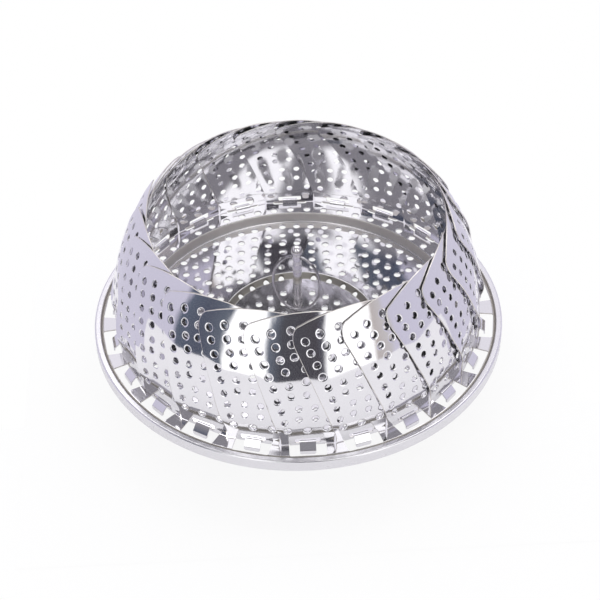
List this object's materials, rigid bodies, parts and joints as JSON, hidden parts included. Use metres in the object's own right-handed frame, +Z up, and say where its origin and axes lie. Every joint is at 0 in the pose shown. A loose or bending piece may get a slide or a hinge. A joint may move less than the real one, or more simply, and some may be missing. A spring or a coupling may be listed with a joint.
{
  "type": "folding steamer basket",
  "caption": "Round perforated steel steamer basket on folding legs, with overlapping hinged petals that fold in and a centre post with a pull ring.",
  "frame": {"origin": "on the table under the middle of the centre post, with the basket standing on its legs", "axes": "+Z up along the post; the middle of the first petal faces -Y"},
  "size_m": [0.176, 0.176, 0.0892],
  "materials": {
    "base_plate": "mirror-polished stainless steel",
    "centre_post": "mirror-polished stainless steel",
    "post_washer": "bright stainless steel",
    "post_nut": "bright stainless steel",
    "leg_bracket_1": "bright stainless steel",
    "leg_bracket_2": "bright stainless steel",
    "leg_bracket_3": "bright stainless steel",
    "leg_pin_1": "bright stainless steel",
    "leg_pin_2": "bright stainless steel",
    "leg_pin_3": "bright stainless steel",
    "petal_01": "mirror-polished stainless steel",
    "petal_02": "mirror-polished stainless steel",
    "petal_03": "mirror-polished stainless steel",
    "petal_04": "mirror-polished stainless steel",
    "petal_05": "mirror-polished stainless steel",
    "petal_06": "mirror-polished stainless steel",
    "petal_07": "mirror-polished stainless steel",
    "petal_08": "mirror-polished stainless steel",
    "petal_09": "mirror-polished stainless steel",
    "petal_10": "mirror-polished stainless steel",
    "petal_11": "mirror-polished stainless steel",
    "petal_12": "mirror-polished stainless steel",
    "petal_13": "mirror-polished stainless steel",
    "petal_14": "mirror-polished stainless steel",
    "petal_15": "mirror-polished stainless steel",
    "petal_16": "mirror-polished stainless steel",
    "petal_17": "mirror-polished stainless steel",
    "petal_18": "mirror-polished stainless steel",
    "petal_19": "mirror-polished stainless steel",
    "petal_20": "mirror-polished stainless steel",
    "petal_21": "mirror-polished stainless steel",
    "petal_22": "mirror-polished stainless steel",
    "leg_1": "bright stainless steel",
    "leg_2": "bright stainless steel",
    "leg_3": "bright stainless steel",
    "pull_ring": "mirror-polished stainless steel"
  },
  "bodies": {
    "basket_body": {"base_plate": "base_plate", "centre_post": "centre_post", "post_washer": "post_washer", "post_nut": "post_nut", "leg_bracket_1": "leg_bracket_1", "leg_bracket_2": "leg_bracket_2", "leg_bracket_3": "leg_bracket_3", "leg_pin_1": "leg_pin_1", "leg_pin_2": "leg_pin_2", "leg_pin_3": "leg_pin_3"},
    "petal_01": {"petal_01": "petal_01"},
    "petal_02": {"petal_02": "petal_02"},
    "petal_03": {"petal_03": "petal_03"},
    "petal_04": {"petal_04": "petal_04"},
    "petal_05": {"petal_05": "petal_05"},
    "petal_06": {"petal_06": "petal_06"},
    "petal_07": {"petal_07": "petal_07"},
    "petal_08": {"petal_08": "petal_08"},
    "petal_09": {"petal_09": "petal_09"},
    "petal_10": {"petal_10": "petal_10"},
    "petal_11": {"petal_11": "petal_11"},
    "petal_12": {"petal_12": "petal_12"},
    "petal_13": {"petal_13": "petal_13"},
    "petal_14": {"petal_14": "petal_14"},
    "petal_15": {"petal_15": "petal_15"},
    "petal_16": {"petal_16": "petal_16"},
    "petal_17": {"petal_17": "petal_17"},
    "petal_18": {"petal_18": "petal_18"},
    "petal_19": {"petal_19": "petal_19"},
    "petal_20": {"petal_20": "petal_20"},
    "petal_21": {"petal_21": "petal_21"},
    "petal_22": {"petal_22": "petal_22"},
    "leg_1": {"leg_1": "leg_1"},
    "leg_2": {"leg_2": "leg_2"},
    "leg_3": {"leg_3": "leg_3"},
    "pull_ring": {"pull_ring": "pull_ring"}
  },
  "joints": [
    {"name": "petal_01_fold", "type": "hinge", "parent": "basket_body", "child": "petal_01", "pos_m": [0, -0.0776, 0.03112], "axis": [1, 0, 0], "range_deg": [-8, 75]},
    {"name": "petal_02_fold", "type": "hinge", "parent": "basket_body", "child": "petal_02", "pos_m": [0.02186, -0.07446, 0.03112], "axis": [0.9595, 0.2817, 0], "range_deg": [-8, 75]},
    {"name": "petal_03_fold", "type": "hinge", "parent": "basket_body", "child": "petal_03", "pos_m": [0.04195, -0.06528, 0.03112], "axis": [0.8413, 0.5406, 0], "range_deg": [-8, 75]},
    {"name": "petal_04_fold", "type": "hinge", "parent": "basket_body", "child": "petal_04", "pos_m": [0.05865, -0.05082, 0.03112], "axis": [0.6549, 0.7557, 0], "range_deg": [-8, 75]},
    {"name": "petal_05_fold", "type": "hinge", "parent": "basket_body", "child": "petal_05", "pos_m": [0.07059, -0.03224, 0.03112], "axis": [0.4154, 0.9096, 0], "range_deg": [-8, 75]},
    {"name": "petal_06_fold", "type": "hinge", "parent": "basket_body", "child": "petal_06", "pos_m": [0.07681, -0.01104, 0.03112], "axis": [0.1423, 0.9898, 0], "range_deg": [-8, 75]},
    {"name": "petal_07_fold", "type": "hinge", "parent": "basket_body", "child": "petal_07", "pos_m": [0.07681, 0.01104, 0.03112], "axis": [-0.1423, 0.9898, 0], "range_deg": [-8, 75]},
    {"name": "petal_08_fold", "type": "hinge", "parent": "basket_body", "child": "petal_08", "pos_m": [0.07059, 0.03224, 0.03112], "axis": [-0.4154, 0.9096, 0], "range_deg": [-8, 75]},
    {"name": "petal_09_fold", "type": "hinge", "parent": "basket_body", "child": "petal_09", "pos_m": [0.05865, 0.05082, 0.03112], "axis": [-0.6549, 0.7557, 0], "range_deg": [-8, 75]},
    {"name": "petal_10_fold", "type": "hinge", "parent": "basket_body", "child": "petal_10", "pos_m": [0.04195, 0.06528, 0.03112], "axis": [-0.8413, 0.5406, 0], "range_deg": [-8, 75]},
    {"name": "petal_11_fold", "type": "hinge", "parent": "basket_body", "child": "petal_11", "pos_m": [0.02186, 0.07446, 0.03112], "axis": [-0.9595, 0.2817, 0], "range_deg": [-8, 75]},
    {"name": "petal_12_fold", "type": "hinge", "parent": "basket_body", "child": "petal_12", "pos_m": [0, 0.0776, 0.03112], "axis": [-1, 0, 0], "range_deg": [-8, 75]},
    {"name": "petal_13_fold", "type": "hinge", "parent": "basket_body", "child": "petal_13", "pos_m": [-0.02186, 0.07446, 0.03112], "axis": [-0.9595, -0.2817, 0], "range_deg": [-8, 75]},
    {"name": "petal_14_fold", "type": "hinge", "parent": "basket_body", "child": "petal_14", "pos_m": [-0.04195, 0.06528, 0.03112], "axis": [-0.8413, -0.5406, 0], "range_deg": [-8, 75]},
    {"name": "petal_15_fold", "type": "hinge", "parent": "basket_body", "child": "petal_15", "pos_m": [-0.05865, 0.05082, 0.03112], "axis": [-0.6549, -0.7557, 0], "range_deg": [-8, 75]},
    {"name": "petal_16_fold", "type": "hinge", "parent": "basket_body", "child": "petal_16", "pos_m": [-0.07059, 0.03224, 0.03112], "axis": [-0.4154, -0.9096, 0], "range_deg": [-8, 75]},
    {"name": "petal_17_fold", "type": "hinge", "parent": "basket_body", "child": "petal_17", "pos_m": [-0.07681, 0.01104, 0.03112], "axis": [-0.1423, -0.9898, 0], "range_deg": [-8, 75]},
    {"name": "petal_18_fold", "type": "hinge", "parent": "basket_body", "child": "petal_18", "pos_m": [-0.07681, -0.01104, 0.03112], "axis": [0.1423, -0.9898, 0], "range_deg": [-8, 75]},
    {"name": "petal_19_fold", "type": "hinge", "parent": "basket_body", "child": "petal_19", "pos_m": [-0.07059, -0.03224, 0.03112], "axis": [0.4154, -0.9096, 0], "range_deg": [-8, 75]},
    {"name": "petal_20_fold", "type": "hinge", "parent": "basket_body", "child": "petal_20", "pos_m": [-0.05865, -0.05082, 0.03112], "axis": [0.6549, -0.7557, 0], "range_deg": [-8, 75]},
    {"name": "petal_21_fold", "type": "hinge", "parent": "basket_body", "child": "petal_21", "pos_m": [-0.04195, -0.06528, 0.03112], "axis": [0.8413, -0.5406, 0], "range_deg": [-8, 75]},
    {"name": "petal_22_fold", "type": "hinge", "parent": "basket_body", "child": "petal_22", "pos_m": [-0.02186, -0.07446, 0.03112], "axis": [0.9595, -0.2817, 0], "range_deg": [-8, 75]},
    {"name": "leg_1_fold", "type": "hinge", "parent": "basket_body", "child": "leg_1", "pos_m": [0, 0.045, 0.0218], "axis": [-1, 0, 0], "range_deg": [0, 90]},
    {"name": "leg_2_fold", "type": "hinge", "parent": "basket_body", "child": "leg_2", "pos_m": [-0.03897, -0.0225, 0.0218], "axis": [0.5, -0.866, 0], "range_deg": [0, 90]},
    {"name": "leg_3_fold", "type": "hinge", "parent": "basket_body", "child": "leg_3", "pos_m": [0.03897, -0.0225, 0.0218], "axis": [0.5, 0.866, 0], "range_deg": [0, 90]},
    {"name": "pull_ring_swing", "type": "hinge", "parent": "basket_body", "child": "pull_ring", "pos_m": [0, 0, 0.0644], "axis": [-0.9455, 0.3256, 0], "range_deg": [0, 348]}
  ],
  "couplings": [
    {"joint": "petal_02_fold", "follows": "petal_01_fold", "ratio": 1},
    {"joint": "petal_03_fold", "follows": "petal_01_fold", "ratio": 1},
    {"joint": "petal_04_fold", "follows": "petal_01_fold", "ratio": 1},
    {"joint": "petal_05_fold", "follows": "petal_01_fold", "ratio": 1},
    {"joint": "petal_06_fold", "follows": "petal_01_fold", "ratio": 1},
    {"joint": "petal_07_fold", "follows": "petal_01_fold", "ratio": 1},
    {"joint": "petal_08_fold", "follows": "petal_01_fold", "ratio": 1},
    {"joint": "petal_09_fold", "follows": "petal_01_fold", "ratio": 1},
    {"joint": "petal_10_fold", "follows": "petal_01_fold", "ratio": 1},
    {"joint": "petal_11_fold", "follows": "petal_01_fold", "ratio": 1},
    {"joint": "petal_12_fold", "follows": "petal_01_fold", "ratio": 1},
    {"joint": "petal_13_fold", "follows": "petal_01_fold", "ratio": 1},
    {"joint": "petal_14_fold", "follows": "petal_01_fold", "ratio": 1},
    {"joint": "petal_15_fold", "follows": "petal_01_fold", "ratio": 1},
    {"joint": "petal_16_fold", "follows": "petal_01_fold", "ratio": 1},
    {"joint": "petal_17_fold", "follows": "petal_01_fold", "ratio": 1},
    {"joint": "petal_18_fold", "follows": "petal_01_fold", "ratio": 1},
    {"joint": "petal_19_fold", "follows": "petal_01_fold", "ratio": 1},
    {"joint": "petal_20_fold", "follows": "petal_01_fold", "ratio": 1},
    {"joint": "petal_21_fold", "follows": "petal_01_fold", "ratio": 1},
    {"joint": "petal_22_fold", "follows": "petal_01_fold", "ratio": 1}
  ]
}
